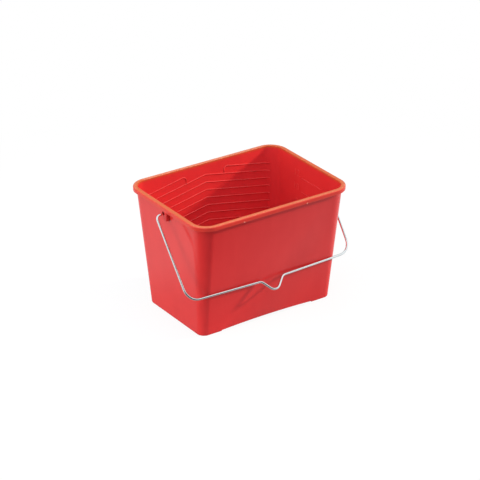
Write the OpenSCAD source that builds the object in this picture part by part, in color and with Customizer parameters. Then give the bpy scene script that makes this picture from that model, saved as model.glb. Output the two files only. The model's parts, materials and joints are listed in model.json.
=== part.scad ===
// Rectangular wash bucket: a moulded tub with a ribbed wipe-off wall, and a bent wire bail.
// Millimetres. The origin is on the floor under the middle of the tub, X runs along the long side,
// -Y is the front and +Z is up. The bail is drawn at rest, lying on the front wall.

/* [Rim] */
// Length over the rim
rim_length = 342; // [320:1:380]
// Width over the rim
rim_width = 255; // [235:1:285]
// Height of the rim above the floor
tub_height = 238.8; // [210:0.2:270]
// Outer radius of the rim's corners
rim_corner = 36.5; // [32:0.5:45]
// How far the rim stands out from the wall
rim_overhang = 7; // [6:0.5:9]
// Height of the turned-down skirt of the rim
rim_drop = 8.3; // [6:0.1:9.5]
// Thickness of the rim, and radius of its outer edge
rim_skin = 2.5; // [2:0.1:3]
// Radius of the rim's inner edge
lip_round = 0.8; // [0.6:0.1:2.2]

/* [Walls and floor] */
// Thickness of the walls
wall = 2.5; // [2:0.1:3.2]
// Length of the tub at the floor
base_length = 295.9; // [275:0.1:310]
// Width of the tub at the floor
base_width = 183.5; // [165:0.5:205]
// Outer corner radius at the floor
base_corner = 15.5; // [12:0.5:20]
// Thickness of the bottom
bottom_skin = 2.6; // [2:0.1:4]
// Radius between the bottom and the walls, inside
bottom_round = 6; // [3:0.5:8]

/* [Standing edge] */
// Height of the bottom's underside above the floor
stand_height = 6; // [5.5:0.1:8]
// Thickness of the standing edge
stand_skin = 3; // [2.5:0.1:4]
// Radius of the standing edge's outer corner
stand_round = 1.5; // [0.5:0.1:2]
// Length of the foot at each end of the long sides
foot_length = 45; // [30:1:60]
// Height of the gap at the end of a foot
gap_step = 2.3; // [1.5:0.1:2.5]
// How much higher the gap is at mid-length
gap_rise = 2.7; // [1:0.1:2.8]

/* [Wipe-off ribs] */
// Full rows of ribs
rib_rows = 9; // [5:1:11]
// Height from row to row
rib_pitch = 15.1; // [13:0.1:17]
// Slope of the ribs, in degrees
rib_slope = 10.4; // [6:0.1:14]
// Width of a rib
rib_width = 1.9; // [1.4:0.1:2.4]
// Height of a rib above the wall
rib_height = 1.2; // [0.8:0.1:1.6]
// Depth of the first full row's peak below the rim
rib_drop = 23.1; // [20:0.1:28]
// Half the opening in the middle of the split row
rib_gap = 51; // [40:1:60]
// Radius of the turn at the split row's ends
rib_turn = 6.5; // [5:0.5:8]
// Distance of the rib ends from the end walls
rib_margin = 12; // [10:0.5:18]

/* [Litre scale] */
// Highest mark, in litres
mark_top = 12; // [8:2:12]
// Litres from mark to mark
mark_step = 2; // [1:1:4]
// Length of a mark
mark_length = 65; // [40:1:80]
// Width of a mark
mark_width = 1.2; // [0.8:0.1:1.6]
// Height of a mark above the wall
mark_height = 0.6; // [0.4:0.1:1]
// How far the marks sit forward of the middle
mark_forward = 10.5; // [0:0.5:16]

/* [Pivot lugs] */
// Depth of the pivot axis below the rim
pivot_drop = 14.2; // [12.5:0.1:16]
// How far the pivots sit forward of the middle
pivot_forward = 3; // [0:0.5:8]
// Diameter of the pivot holes
hole_d = 8; // [7:0.1:8.4]
// Width of a lug
lug_width = 21; // [17:0.5:26]
// Depth of a lug's lower end below the rim
lug_drop = 25.3; // [22:0.1:30]
// Thickness of a lug's plate and webs
lug_skin = 2.4; // [2:0.1:2.6]
// How far a lug's face sits inside the rim's outer face
lug_inset = 0.5; // [0.2:0.1:0.8]
// Radius of a lug's upright edges
lug_round = 1.5; // [1:0.1:2]

/* [Rim nibs] */
// Distance between the two nibs on the skirt of each long side
nib_spacing = 139.7; // [100:0.1:180]
// How far the pair sits to the left of the middle
nib_left = 5.2; // [0:0.1:10]
// Length of a nib
nib_length = 3; // [2:0.1:5]
// Height of a nib, from the skirt's lower edge
nib_height = 1.8; // [1:0.1:3]
// How far a nib stands out from the skirt
nib_out = 0.5; // [0.3:0.1:1]

/* [Wire bail] */
// Diameter of the wire
wire_d = 4.5; // [4:0.1:5]
// Distance from a lug's face to the middle of the leg, at the pivot
leg_out = 15.5; // [14:0.5:20]
// How much each leg leans in towards the crossbar
leg_lean = 2.4; // [0:0.1:4]
// Distance from the pivot axis to the ends of the crossbar
bail_reach = 168.4; // [160:0.2:176]
// How much farther out the crossbar is beside the dip
bar_rise = 4; // [2:0.2:6]
// Half the width of the dip, between the shoulders' corner points
dip_half = 24.4; // [22:0.2:30]
// Slope of the dip's sides, in degrees
dip_slope = 48.4; // [40:0.2:56]
// Bend radius beside the pivot
pivot_bend = 8; // [6.5:0.5:9]
// Bend radius at the crossbar's ends
corner_bend = 25; // [18:0.5:30]
// Bend radius at the dip's shoulders
shoulder_bend = 11; // [7:0.5:13]
// Bend radius at the bottom of the dip
dip_bend = 13.4; // [9:0.2:15]
// Gap between the wire and what it lies on
wire_clear = 0.3; // [0.2:0.05:0.5]

/* [Hidden] */
$fn = 96;

// Steps of a moulded corner, seen from above, and of a rounded edge
corner_steps = 12;
edge_steps = 3;
// Depth by which one feature runs into the solid that carries it, and by which a cut runs past it
bite = 0.8;

wall_top = tub_height - rim_drop;
top_length = rim_length - 2 * rim_overhang;
top_width = rim_width - 2 * rim_overhang;
top_corner = rim_corner - rim_overhang;
bottom_top = stand_height + bottom_skin;

// Size of the tub's outer face at a height
function length_at(z) = base_length + (top_length - base_length) * z / wall_top;
function width_at(z) = base_width + (top_width - base_width) * z / wall_top;
function corner_at(z) = base_corner + (top_corner - base_corner) * z / wall_top;

// Points of a rounded rectangle, anticlockwise from above
function ring(length, width, radius, z) = [
    for (corner = [0:3], step = [0:corner_steps])
        let (
            turn = 90 * (corner + step / corner_steps),
            side_x = corner == 0 || corner == 3 ? 1 : -1,
            side_y = corner < 2 ? 1 : -1
        )
        [
            side_x * (length / 2 - radius) + radius * cos(turn),
            side_y * (width / 2 - radius) + radius * sin(turn),
            z
        ]
];

// Outline of the tub at a height, grown by a distance, and drawn at that or another level
function section(z, grow, level) =
    ring(length_at(z) + 2 * grow, width_at(z) + 2 * grow, corner_at(z) + grow, level);

// Solid through a stack of rings
module loft(rings) {
    count = len(rings[0]);
    last = len(rings) - 1;
    sides = [
        for (row = [0:last - 1], i = [0:count - 1])
            let (here = row * count, above = here + count, next = (i + 1) % count)
            [here + i, above + i, above + next, here + next]
    ];
    lower = [for (i = [0:count - 1]) i];
    upper = [for (i = [count - 1:-1:0]) last * count + i];
    polyhedron([for (ring = rings) each ring], concat([lower], sides, [upper]));
}

// The tub's outer shape, standing edge to rim
module outer_body() {
    edge = [
        for (step = [0:edge_steps])
            let (turn = 90 * step / edge_steps, z = stand_round * (1 - cos(turn)))
            section(z, -stand_round * (1 - sin(turn)), z)
    ];
    level = tub_height - rim_skin / 2;
    loft(concat(edge, [section(level, 0, level)]));
}

// The space inside the tub, with its rounded lower edge and its rounded lip
module inside() {
    lower = [
        for (step = [0:edge_steps])
            let (turn = 90 * step / edge_steps, z = bottom_top + bottom_round * (1 - cos(turn)))
            section(z, -wall - bottom_round * (1 - sin(turn)), z)
    ];
    lip = [
        for (step = [0:edge_steps])
            let (turn = 90 * step / edge_steps, z = tub_height - lip_round * (1 - sin(turn)))
            section(z, -wall + lip_round * (1 - cos(turn)), z)
    ];
    loft(concat(lower, lip, [section(tub_height, lip_round - wall, tub_height + bite)]));
}

// The hollow under the bottom, and the low gap between the feet of the long sides
module under_bottom() {
    loft([section(0, -stand_skin, -bite), section(stand_height, -stand_skin, stand_height)]);
    gap_half = base_length / 2 - foot_length;
    arch_radius = (gap_half * gap_half + gap_rise * gap_rise) / (2 * gap_rise);
    translate([0, base_width / 2 + bite, 0])
        rotate([90, 0, 0])
            linear_extrude(base_width + 2 * bite)
                intersection() {
                    translate([-gap_half, -bite])
                        square([2 * gap_half, stand_height]);
                    translate([0, gap_step + gap_rise - arch_radius])
                        circle(arch_radius, $fn = 720);
                }
}

// Section of the rim, measured from the centre of a corner
module rim_profile() {
    reach = rim_overhang + wall + bite;
    inner_edge = rim_corner - rim_skin;
    translate([rim_corner - reach, tub_height - rim_skin])
        square([reach - rim_skin, rim_skin]);
    translate([inner_edge, wall_top])
        square([rim_skin, rim_drop - rim_skin]);
    translate([inner_edge, tub_height - rim_skin])
        intersection() {
            circle(rim_skin);
            square(rim_skin);
        }
}

// One side of the rim and the corner after it
module rim_quarter(across, along) {
    translate([across / 2 - rim_corner, along / 2 - rim_corner, 0]) {
        rotate([90, 0, 0])
            linear_extrude(along - 2 * rim_corner)
                rim_profile();
        rotate_extrude(angle = 90)
            rim_profile();
    }
}

module rim() {
    for (turn = [0, 180]) {
        rotate(turn)
            rim_quarter(rim_length, rim_width);
        rotate(turn + 90)
            rim_quarter(rim_width, rim_length);
    }
}

// Nibs at the lower edge of the skirt of the long sides
module rim_nibs() {
    for (side_x = [-1, 1], side_y = [0, 1])
        mirror([0, side_y, 0])
            translate([
                side_x * nib_spacing / 2 - nib_left - nib_length / 2,
                rim_width / 2 - bite,
                wall_top
            ])
                cube([nib_length, bite + nib_out, nib_height]);
}

lug_face = rim_length / 2 - lug_inset;
lug_bottom = tub_height - lug_drop;
pivot_z = tub_height - pivot_drop;
// The wire lies at the bottom of the hole
hole_z = pivot_z + (hole_d - wire_d) / 2 - wire_clear;

// Plan of a lug, from inside the tub's wall to the lug's face
module lug_plan(start) {
    depth = lug_face - start;
    translate([start, -lug_width / 2])
        square([depth - lug_round, lug_width]);
    translate([start, lug_round - lug_width / 2])
        square([depth, lug_width - 2 * lug_round]);
    for (side = [-1, 1])
        translate([lug_face - lug_round, side * (lug_width / 2 - lug_round)])
            circle(lug_round);
}

// A lug at the +X end: a box open at the bottom, with the pivot hole in its plate
module lug() {
    start = length_at(lug_bottom) / 2 - wall / 2;
    top = tub_height - rim_skin / 2;
    difference() {
        translate([0, 0, lug_bottom])
            linear_extrude(top - lug_bottom)
                lug_plan(start);
        translate([start - bite, lug_skin - lug_width / 2, lug_bottom - bite])
            cube([
                lug_face - lug_skin - start + bite,
                lug_width - 2 * lug_skin,
                tub_height - rim_skin - lug_bottom + bite
            ]);
        translate([lug_face - lug_skin - bite, 0, hole_z])
            rotate([0, 90, 0])
                cylinder(d = hole_d, h = lug_skin + 2 * bite);
    }
}

// A layer on the inner face of the walls, of a given height, rooted in the wall
module wall_layer(height) {
    low = bottom_top + bottom_round;
    difference() {
        loft([section(low, bite - wall, low), section(wall_top, bite - wall, wall_top)]);
        loft([
            section(low - bite, -wall - height, low - bite),
            section(wall_top + bite, -wall - height, wall_top + bite)
        ]);
    }
}

rib_peak = tub_height - rib_drop;
rib_tall = rib_width / cos(rib_slope);

// Height of a rib's middle line; row 0 is the first full row and row -1 the split one
function rib_level(row, x) = rib_peak - row * rib_pitch - abs(x) * tan(rib_slope);

// One full row, peaked at mid-length
module rib_row(row) {
    far = rim_length / 2;
    upper = [for (x = [-far, 0, far]) [x, rib_level(row, x) + rib_tall / 2]];
    lower = [for (x = [far, 0, -far]) [x, rib_level(row, x) - rib_tall / 2]];
    polygon(concat(upper, lower));
}

// Half of the split row, which turns down at its inner end to the row below
module rib_half() {
    far = rim_length / 2;
    half = rib_tall / 2;
    polygon([
        [rib_gap, rib_level(-1, rib_gap) + half],
        [far, rib_level(-1, far) + half],
        [far, rib_level(-1, far) - half],
        [rib_gap, rib_level(-1, rib_gap) - half]
    ]);
    turn_x = rib_gap - rib_turn * sin(rib_slope);
    turn_z = rib_level(-1, rib_gap) - rib_turn * cos(rib_slope);
    reach = 2 * rib_turn;
    translate([turn_x, turn_z])
        intersection() {
            difference() {
                circle(rib_turn + rib_width / 2);
                circle(rib_turn - rib_width / 2);
            }
            polygon([
                [0, 0],
                [reach * sin(rib_slope), reach * cos(rib_slope)],
                [-reach, reach],
                [-reach, 0]
            ]);
        }
    stem_x = turn_x - rib_turn;
    translate([stem_x - rib_width / 2, rib_level(0, stem_x)])
        square([rib_width, turn_z - rib_level(0, stem_x)]);
}

// The chevron ribs on the inner back wall
module ribs() {
    low = bottom_top + bottom_round;
    low_half = length_at(low) / 2 - wall - rib_margin;
    top_half = length_at(wall_top) / 2 - wall - rib_margin;
    intersection() {
        wall_layer(rib_height);
        translate([0, rim_width / 2, 0])
            rotate([90, 0, 0])
                linear_extrude(rim_width / 2)
                    intersection() {
                        union() {
                            for (row = [0:rib_rows - 1])
                                rib_row(row);
                            rib_half();
                            mirror([1, 0])
                                rib_half();
                        }
                        polygon([
                            [-low_half, low],
                            [low_half, low],
                            [top_half, wall_top],
                            [-top_half, wall_top]
                        ]);
                    }
    }
}

// Area of the inside at a height, and litres up to a height
function inside_area(z) =
    (length_at(z) - 2 * wall) * (width_at(z) - 2 * wall) - (4 - PI) * pow(corner_at(z) - wall, 2);
function litres_to(z) =
    (z - bottom_top) / 6e6
    * (inside_area(bottom_top) + 4 * inside_area((bottom_top + z) / 2) + inside_area(z));

// Height at which the tub holds so many litres
function fill_level(litres, low = bottom_top, high = tub_height, steps = 24) =
    let (middle = (low + high) / 2)
    steps == 0 ? middle
    : litres_to(middle) < litres ? fill_level(litres, middle, high, steps - 1)
    : fill_level(litres, low, middle, steps - 1);

// The litre marks on the inner face of the +X end wall
module litre_marks() {
    intersection() {
        wall_layer(mark_height);
        for (litres = [mark_step:mark_step:mark_top])
            translate([0, -mark_forward - mark_length / 2, fill_level(litres) - mark_width / 2])
                cube([rim_length / 2, mark_length, mark_width]);
    }
}

module bucket_tub() {
    color([0.82, 0.15, 0.13]) {
        difference() {
            union() {
                outer_body();
                rim();
                rim_nibs();
                for (side = [0, 1])
                    mirror([side, 0, 0])
                        translate([0, -pivot_forward, 0])
                            lug();
            }
            inside();
            under_bottom();
        }
        ribs();
        litre_marks();
    }
}

// The bail is drawn in its own plane: X along the pivot axis, and -Y out to the crossbar
leg_top = lug_face + leg_out;
leg_foot = leg_top - leg_lean;
wire_r = wire_d / 2;
// The straight wire ends stop just short of the tub's wall, behind the lugs' plates
end_x = length_at(pivot_z + wire_r) / 2 + wire_clear;
// A straight is this much thinner all round than a bend, and runs this far into it
seat_step = 0.01;
seat_depth = 0.2;
wire_fn = 48;

// Corners and bend radii of half the wire, from the pivot to the middle of the dip
half_wire = [
    [[end_x, 0], 0],
    [[leg_top, 0], pivot_bend],
    [[leg_foot, -bail_reach], corner_bend],
    [[dip_half, -bail_reach - bar_rise], shoulder_bend]
];
mirrored_half = [
    for (i = [len(half_wire) - 1:-1:0])
        [[-half_wire[i][0][0], half_wire[i][0][1]], half_wire[i][1]]
];
dip_bottom = [[0, -bail_reach - bar_rise - dip_half * tan(dip_slope)], dip_bend];
wire_corners = concat(half_wire, [dip_bottom], mirrored_half);

function heading(a, b) = atan2(b[1] - a[1], b[0] - a[0]);
// Turn from one heading to another, from -180 to 180 degrees
function turn_of(a, b) = (b - a + 540) % 360 - 180;

// Turn of the wire at a corner, and the length that its bend takes from each straight
function corner_turn(i) = turn_of(
    heading(wire_corners[i - 1][0], wire_corners[i][0]),
    heading(wire_corners[i][0], wire_corners[i + 1][0])
);
function bend_length(i) =
    i == 0 || i == len(wire_corners) - 1 ? 0
    : wire_corners[i][1] * tan(abs(corner_turn(i)) / 2);

module wire_straight(i) {
    from = wire_corners[i][0];
    to = wire_corners[i + 1][0];
    start = i == 0 ? 0 : bend_length(i) - seat_depth;
    end = i == len(wire_corners) - 2 ? 0 : bend_length(i + 1) - seat_depth;
    translate(from)
        rotate([0, 90, heading(from, to)])
            translate([0, 0, start])
                cylinder(d = wire_d - 2 * seat_step, h = norm(to - from) - start - end, $fn = wire_fn);
}

module wire_bend(i) {
    direction = heading(wire_corners[i - 1][0], wire_corners[i][0]);
    turn = corner_turn(i);
    radius = wire_corners[i][1];
    side = sign(turn);
    translate(wire_corners[i][0])
        rotate(direction)
            translate([-bend_length(i), side * radius, 0])
                rotate(side > 0 ? -90 : 90 + turn)
                    rotate_extrude(angle = abs(turn))
                        translate([radius, 0])
                            circle(d = wire_d, $fn = wire_fn);
}

// Angle of the bail from straight down, at which its crossbar lies on the front wall
wall_slope = (top_width - base_width) / 2 / wall_top;
wall_lean = atan(wall_slope);
touch_x = base_length / 2 - base_corner;
touch_reach = bail_reach + bar_rise * (leg_foot - touch_x) / (leg_foot - dip_half);
wall_distance = (base_width / 2 + wall_slope * pivot_z - pivot_forward) * cos(wall_lean);
rest_angle = asin((wall_distance + wire_r + wire_clear) / touch_reach) - wall_lean;

module wire_bail() {
    color([0.74, 0.76, 0.77])
        translate([0, -pivot_forward, pivot_z])
            rotate([90 - rest_angle, 0, 0]) {
                for (i = [0:len(wire_corners) - 2])
                    wire_straight(i);
                for (i = [1:len(wire_corners) - 2])
                    wire_bend(i);
            }
}

bucket_tub();
wire_bail();
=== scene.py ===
import json
import math

import bmesh
import bpy
from bpy.props import FloatProperty, FloatVectorProperty, IntProperty, PointerProperty
from mathutils import Matrix, Vector


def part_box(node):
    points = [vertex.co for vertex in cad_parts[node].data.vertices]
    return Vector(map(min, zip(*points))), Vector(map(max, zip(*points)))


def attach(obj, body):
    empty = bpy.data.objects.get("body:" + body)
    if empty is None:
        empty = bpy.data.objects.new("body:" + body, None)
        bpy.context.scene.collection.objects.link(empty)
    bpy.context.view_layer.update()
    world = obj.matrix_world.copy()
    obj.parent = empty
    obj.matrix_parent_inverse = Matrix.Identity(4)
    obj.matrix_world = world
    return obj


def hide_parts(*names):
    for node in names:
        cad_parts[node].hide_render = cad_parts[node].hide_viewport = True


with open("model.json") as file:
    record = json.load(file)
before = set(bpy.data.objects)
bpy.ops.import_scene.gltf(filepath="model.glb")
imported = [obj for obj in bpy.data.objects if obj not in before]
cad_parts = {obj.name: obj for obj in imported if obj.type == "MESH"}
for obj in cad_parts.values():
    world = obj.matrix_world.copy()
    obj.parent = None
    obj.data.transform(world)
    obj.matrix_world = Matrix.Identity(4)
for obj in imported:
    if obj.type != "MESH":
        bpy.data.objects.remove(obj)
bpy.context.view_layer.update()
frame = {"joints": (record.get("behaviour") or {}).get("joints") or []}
TUB_LOW, TUB_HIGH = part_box("bucket_tub")
PIVOT = Vector(next(j for j in frame["joints"] if j["name"] == "bail_swing")["pos_m"])

bl_info = {
    "name": "Wash Bucket",
    "version": (1, 0, 0),
    "blender": (4, 5, 0),
    "location": "View3D > Sidebar > Bucket",
    "description": "Moulds a rectangular wash bucket and bends its wire bail around a packed frame",
    "category": "Object",
}

# Steps of a moulded corner seen from above, of a rounded edge, and of the smallest edges
CORNER_STEPS = 16
EDGE_STEPS = 5
BREAK_STEPS = 3
# Steps round a bead, a wire and a pivot hole, and round a lug's upright edge
BEAD_STEPS = 12
WIRE_STEPS = 20
HOLE_STEPS = 32
LUG_STEPS = 4
# Steps along the gap between two feet, and along the turn of the split row of ribs
GAP_STEPS = 14
TURN_STEPS = 8
# Turn of the wire from ring to ring in a bend, and the fewest steps of a bend
WIRE_TURN = math.radians(9)
BEND_STEPS = 3
# Edges that fold more sharply than this keep a crease when the surface is shaded smooth
CREASE = math.radians(38)
# Distance under which two places count as one
TINY = 1e-6
# Length over which a foot's end steps up into the gap
STEP_RUN = 0.0002
# Rings where the rim's painted highlight colour fades inside the tub, as shares of the depth of the
# whole fade
FADE_RINGS = (1.0, 0.75, 0.55, 0.4, 0.28)
# Share of the rim's painted highlight colour on its skirt, and how fast it falls off over the edge
# and inside
SKIRT_HIGHLIGHT = 0.16
EDGE_FALL = 3
LIP_FALL = 4
# How pale a place is painted, where 1 is the rim's edge at the front
# Ends of the rim's edges, with a painted highlight, and of the standing edge, with wear
WEAR_AND_HIGHLIGHT_END = 0.2
# Painted highlights on the litre marks, the ribs and the back rim's top, and a painted glint on the
# nibs
HIGHLIGHT_MARK = 0.25
HIGHLIGHT_RIB = 0.5
HIGHLIGHT_BACK_RIM = 1.8
GLINT_NIB = 6.0
# Rings of a rib on the flat of the wall, from the middle out, the place from which they close up
# to follow the corner, and the rings of the split row, from the corner in
RIB_FLAT = (0.0, 0.004, 0.03, 0.07, 0.11, 0.128)
RIB_CORNER = 0.132
CORNER_RINGS = 4
SPLIT_FLAT = (0.138, 0.134, 0.128, 0.1, 0.075)
# Size of a bead's blunt end as a share of the bead
BEAD_NOSE = 0.45
# Radius of a nib's edges as a share of how far it stands out
NIB_ROUND = 0.8
# Height of the font's figures as a share of its size, and the rounded share of their relief
FIGURE_SHARE = 0.72
FIGURE_ROUND = 0.3
LITRES_PER_CUBIC_METRE = 1000
# Rounds in which the place of a rib's end and the level of a mark are closed in on
END_ROUNDS = 4
LEVEL_ROUNDS = 24

# Tint of the key and side lamps, and of the lamps above, in front and behind
WARM = (1.0, 0.94, 0.68)
COOL = (0.81, 0.86, 1.0)
# Direction of the key light from the tub, its distance, and how wide it looks from there
KEY_DIRECTION = (0.88, -0.29, 0.365)
KEY_DISTANCE = 3.0
KEY_WIDTH = math.radians(4.5)
# Direction of each soft lamp from the tub, its distance, size and tint
SOFT_LAMPS = {
    "side": ((-0.90, 0.2, 0.15), 2.0, 1.3, WARM),
    "top": ((-0.24, -0.14, 1.0), 1.5, 2.2, COOL),
    "fill": ((0.30, -0.85, 0.38), 1.9, 1.4, COOL),
    "back": ((-0.1, 0.93, 0.30), 1.9, 1.4, COOL),
}
# Directions of the dark and the grey side of the surround, and of the floor's dark end, in mirrors
DARK_SIDE = (-0.25, -0.97, 0.0)
GREY_SIDE = (0.5, 0.86, 0.0)
DARK_FLOOR = (-0.42, -0.91, 0.0)
# Half the length of the floor's sides
FLOOR_HALF = 12.0
# Place of the camera, its yaw, pitch and roll in degrees, and the width of its sensor in mm
CAMERA_PLACE = (-2.1448, -3.1724, 1.9969)
CAMERA_TURN = (34.0736, -26.0723, -0.30997)
SENSOR_WIDTH = 36.0


def length_prop(name, description, default):
    """A size in metres."""
    return FloatProperty(
        name=name, description=description, default=default, min=0.0, unit="LENGTH", precision=4
    )


def angle_prop(name, description, degrees):
    """An angle, whose default is given in degrees."""
    return FloatProperty(
        name=name, description=description, default=math.radians(degrees), subtype="ANGLE"
    )


def strength_prop(name, description, default, unit="NONE"):
    """Strength of a light, or its power in watts."""
    return FloatProperty(name=name, description=description, default=default, min=0.0, unit=unit)


def colour_prop(name, description, default):
    """A linear colour."""
    return FloatVectorProperty(
        name=name, description=description, default=default, min=0.0, max=1.0, subtype="COLOR"
    )


class BucketTubSettings(bpy.types.PropertyGroup):
    """Sizes of the moulded tub."""

    rim_length: length_prop("Rim length", "Length over the rim", TUB_HIGH.x - TUB_LOW.x)
    rim_width: length_prop("Rim width", "Width over the rim", 0.255)
    height: length_prop("Height", "Height of the rim above the floor", TUB_HIGH.z)
    rim_corner: length_prop("Rim corner", "Outer radius of the rim's corners", 0.0365)
    rim_overhang: length_prop("Rim overhang", "How far the rim stands out from the wall", 0.007)
    rim_drop: length_prop("Rim drop", "Height of the rim's turned-down skirt", 0.0083)
    rim_skin: length_prop("Rim skin", "Thickness of the rim, and radius of its outer edge", 0.0025)
    lip_round: length_prop("Lip round", "Radius of the rim's inner edge", 0.0008)
    wall: length_prop("Wall", "Thickness of the walls", 0.0025)
    base_length: length_prop("Base length", "Length of the tub at the floor", 0.2959)
    base_width: length_prop("Base width", "Width of the tub at the floor", 0.1835)
    base_corner: length_prop("Base corner", "Outer corner radius at the floor", 0.0155)
    bottom_skin: length_prop("Bottom skin", "Thickness of the bottom", 0.0026)
    bottom_round: length_prop("Bottom round", "Radius between the bottom and the walls", 0.006)
    stand_height: length_prop("Stand height", "Height of the bottom's underside", 0.006)
    stand_skin: length_prop("Stand skin", "Thickness of the standing edge", 0.003)
    stand_round: length_prop("Stand round", "Radius of the standing edge's outer corner", 0.0015)
    foot_length: length_prop("Foot length", "Length of a foot of the long sides", 0.045)
    gap_step: length_prop("Gap step", "Height of the gap at the end of a foot", 0.0023)
    gap_rise: length_prop("Gap rise", "How much higher the gap is at mid-length", 0.0027)
    edge_break: length_prop("Edge break", "Radius of the moulding's small edges", 0.0005)
    # The rim's lighter colour, a painted highlight, reaches this far down inside the tub
    lip_fade: length_prop("Lip fade", "Depth at which the rim's colour ends inside the tub", 0.010)
    nib_spacing: length_prop("Nib spacing", "Distance between the two nibs of a long side", 0.1397)
    nib_left: length_prop("Nib left", "How far the nibs sit to the left of the middle", 0.0052)
    nib_length: length_prop("Nib length", "Length of a nib on the skirt", 0.003)
    nib_height: length_prop("Nib height", "Height of a nib, from the skirt's lower edge", 0.0018)
    nib_out: length_prop("Nib out", "How far a nib stands out from the skirt", 0.0005)


class BucketReliefSettings(bpy.types.PropertyGroup):
    """Sizes of the ribs and the litre scale inside the tub."""

    rib_rows: IntProperty(name="Rib rows", description="Full rows of ribs", default=9, min=1)
    rib_pitch: length_prop("Rib pitch", "Height from row to row", 0.0151)
    rib_slope: angle_prop("Rib slope", "Slope of the ribs", 10.4)
    rib_width: length_prop("Rib width", "Width of a rib", 0.0019)
    rib_height: length_prop("Rib height", "Height of a rib above the wall", 0.0012)
    rib_drop: length_prop("Rib drop", "Depth of the first full row's peak below the rim", 0.0231)
    rib_gap: length_prop("Rib gap", "Half the opening in the middle of the split row", 0.051)
    rib_turn: length_prop("Rib turn", "Radius of the turn at the split row's ends", 0.0065)
    rib_margin: length_prop("Rib margin", "Distance of the rib ends from the end walls", 0.012)
    mark_top: IntProperty(name="Top mark", description="Highest mark, in litres", default=12, min=1)
    mark_step: IntProperty(
        name="Mark step", description="Litres from mark to mark", default=2, min=1
    )
    mark_length: length_prop("Mark length", "Length of a mark", 0.065)
    mark_width: length_prop("Mark width", "Width of a mark", 0.0012)
    mark_height: length_prop("Mark height", "Height of a mark above the wall", 0.0006)
    mark_forward: length_prop("Mark forward", "How far the marks sit in front of mid-width", 0.0105)
    figure_height: length_prop("Figure height", "Height of the figures beside the marks", 0.014)
    figure_gap: length_prop("Figure gap", "Distance from a mark to its figure", 0.007)
    figure_relief: length_prop("Figure relief", "Height of a figure above the wall", 0.0003)


class BucketLugSettings(bpy.types.PropertyGroup):
    """Sizes of the pivot lugs."""

    width: length_prop("Width", "Width of a lug", 0.021)
    drop: length_prop("Drop", "Depth of a lug's lower end below the rim", 0.0253)
    skin: length_prop("Skin", "Thickness of a lug's plate and webs", 0.0024)
    inset: length_prop("Inset", "How far a lug's face sits inside the rim's outer face", 0.0005)
    upright_round: length_prop("Upright round", "Radius of a lug's upright edges", 0.0015)
    hole: length_prop("Hole", "Diameter of a pivot hole", 0.008)
    hole_rise: length_prop("Hole rise", "Height of the hole's middle above the pivot axis", 0.00145)


class BucketBailSettings(bpy.types.PropertyGroup):
    """Sizes of the wire bail."""

    wire: length_prop("Wire", "Diameter of the wire", 0.0045)
    end_x: length_prop("Wire end", "Distance of a wire end from the middle", 0.16405)
    leg_top: length_prop("Leg top", "Distance of a leg from the middle, at the pivot", 0.186)
    leg_foot: length_prop("Leg foot", "Distance of a leg from the middle, at the crossbar", 0.1836)
    reach: length_prop("Reach", "Distance from the pivot axis to the crossbar's ends", 0.1684)
    bar_rise: length_prop("Bar rise", "How much farther out the crossbar is beside the dip", 0.004)
    dip_half: length_prop("Dip half", "Half the dip's width, between its shoulder corners", 0.0244)
    dip_slope: angle_prop("Dip slope", "Slope of the dip's sides", 48.4)
    pivot_bend: length_prop("Pivot bend", "Bend radius beside the pivot", 0.008)
    corner_bend: length_prop("Corner bend", "Bend radius at the crossbar's ends", 0.025)
    shoulder_bend: length_prop("Shoulder bend", "Bend radius at the dip's shoulders", 0.011)
    dip_bend: length_prop("Dip bend", "Bend radius at the bottom of the dip", 0.0134)
    rest_angle: angle_prop("Rest angle", "Angle of the bail from straight down, at rest", 37.146)


class BucketFinishSettings(bpy.types.PropertyGroup):
    """Colours of the tub and the wire."""

    red: colour_prop("Red", "Colour of the moulded tub", (0.69, 0.034, 0.035))
    deep_red: colour_prop("Deep red", "Colour where the pigment is denser", (0.65, 0.029, 0.031))
    # The rim's lighter orange is a painted highlight: light on and through the thin rim
    rim_red: colour_prop("Rim red", "Colour of the thin turned-down rim", (0.51, 0.106, 0.028))
    # Pale colour of wear on the standing edge, of painted highlights on the rim's edges, ribs and
    # marks, and of a painted glint on the nibs
    worn_red: colour_prop("Worn red", "Colour of rubbed edges", (0.84, 0.46, 0.34))
    plating: colour_prop("Plating", "Colour of the bright zinc", (0.82, 0.87, 0.88))
    dull_plating: colour_prop("Dull plating", "Colour of the dulled zinc", (0.66, 0.70, 0.72))


class BucketStageSettings(bpy.types.PropertyGroup):
    """Floor, light and camera."""

    near_floor: colour_prop("Near floor", "Colour of the floor round the tub", (0.68, 0.68, 0.68))
    far_floor: colour_prop("Far floor", "Colour of the floor farther off", (0.37, 0.37, 0.37))
    white_floor: colour_prop("White floor", "Floor's colour for the camera", (0.90, 0.90, 0.90))
    ambient: strength_prop("Ambient", "Strength of the light from all round", 0.08)
    key: strength_prop("Key", "Strength of the low light from the right", 3.4)
    side: strength_prop("Side", "Power of the light from the left", 28.3, "POWER")
    top: strength_prop("Top", "Power of the soft light from above", 39.0, "POWER")
    fill: strength_prop("Fill", "Power of the soft light in front", 7.0, "POWER")
    back: strength_prop("Back", "Power of the soft light behind", 13.0, "POWER")
    lens: FloatProperty(
        name="Lens", description="Focal length", default=169.14, min=1.0, unit="CAMERA"
    )


SETTINGS = {
    "bucket_tub": BucketTubSettings,
    "bucket_relief": BucketReliefSettings,
    "bucket_lug": BucketLugSettings,
    "bucket_bail": BucketBailSettings,
    "bucket_finish": BucketFinishSettings,
    "bucket_stage": BucketStageSettings,
}


def edges_of(verts):
    """The edges that join these vertices to each other."""
    verts = set(verts)
    return list({e for v in verts for e in v.link_edges if e.other_vert(v) in verts})


def verts_of(edges):
    """The vertices of these edges."""
    return list({v for e in edges for v in e.verts})


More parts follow.
